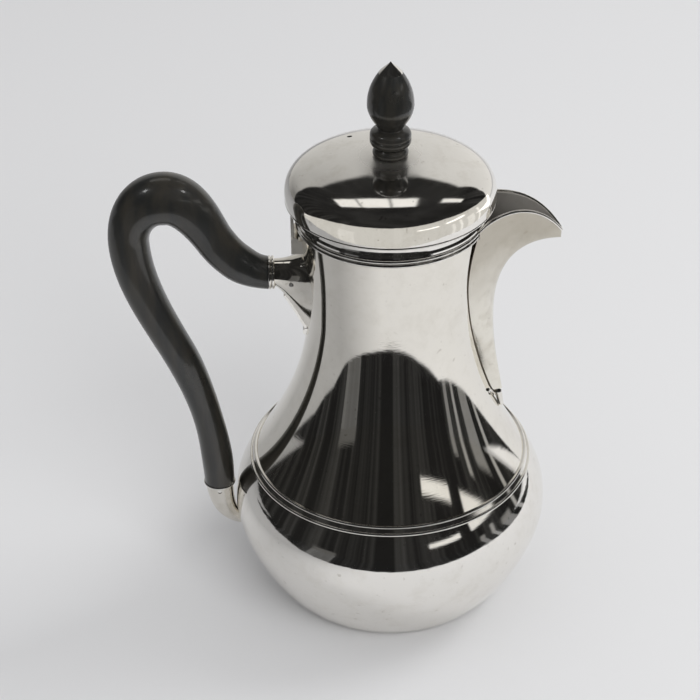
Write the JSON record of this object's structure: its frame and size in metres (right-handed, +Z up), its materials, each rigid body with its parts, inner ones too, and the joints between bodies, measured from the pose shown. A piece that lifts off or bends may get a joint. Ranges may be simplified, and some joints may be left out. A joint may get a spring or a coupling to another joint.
{
  "type": "coffee pot",
  "caption": "Pear-bodied silver coffee pot with a dark wood loop handle, a beaked spout, reeded bands and a hinged domed lid with a turned wood finial.",
  "frame": {"origin": "centre of the flat base, on the table", "axes": "+Z up along the axis of the round body, +X towards the spout, -X towards the handle, the lid hinge's axis along Y"},
  "size_m": [0.1719, 0.126, 0.232],
  "materials": {
    "belly_bowl": "polished",
    "neck_shell": "polished",
    "girdle_wire": "polished",
    "rim_moulding": "polished",
    "neck_bezel": "polished",
    "spout": "polished",
    "spout_lip_wire": "polished",
    "spout_drop": "polished",
    "upper_socket": "polished",
    "upper_ferrule": "polished",
    "socket_strap": "polished",
    "lower_socket": "polished",
    "lower_ferrule": "polished",
    "handle": "polished",
    "upper_handle_pin": "polished",
    "lower_handle_pin": "polished",
    "hinge_lug": "polished",
    "hinge_pin": "polished",
    "lid_dome": "polished",
    "lid_edge_wire": "polished",
    "lid_collar": "polished",
    "hinge_leaf": "polished",
    "finial_foot": "polished",
    "finial_knob": "polished",
    "finial_tip": "polished",
    "finial_washer": "polished",
    "finial_nut": "polished"
  },
  "bodies": {
    "pot": {"belly_bowl": "belly_bowl", "neck_shell": "neck_shell", "girdle_wire": "girdle_wire", "rim_moulding": "rim_moulding", "neck_bezel": "neck_bezel", "spout": "spout", "spout_lip_wire": "spout_lip_wire", "spout_drop": "spout_drop", "upper_socket": "upper_socket", "upper_ferrule": "upper_ferrule", "socket_strap": "socket_strap", "lower_socket": "lower_socket", "lower_ferrule": "lower_ferrule", "handle": "handle", "upper_handle_pin": "upper_handle_pin", "lower_handle_pin": "lower_handle_pin", "hinge_lug": "hinge_lug", "hinge_pin": "hinge_pin"},
    "lid": {"lid_dome": "lid_dome", "lid_edge_wire": "lid_edge_wire", "lid_collar": "lid_collar", "hinge_leaf": "hinge_leaf", "finial_foot": "finial_foot", "finial_knob": "finial_knob", "finial_tip": "finial_tip", "finial_washer": "finial_washer", "finial_nut": "finial_nut"}
  },
  "joints": [
    {"name": "lid_hinge", "type": "hinge", "parent": "pot", "child": "lid", "pos_m": [-0.03625, 0, 0.1616], "axis": [0, -1, 0], "range_deg": [0, 66]}
  ]
}
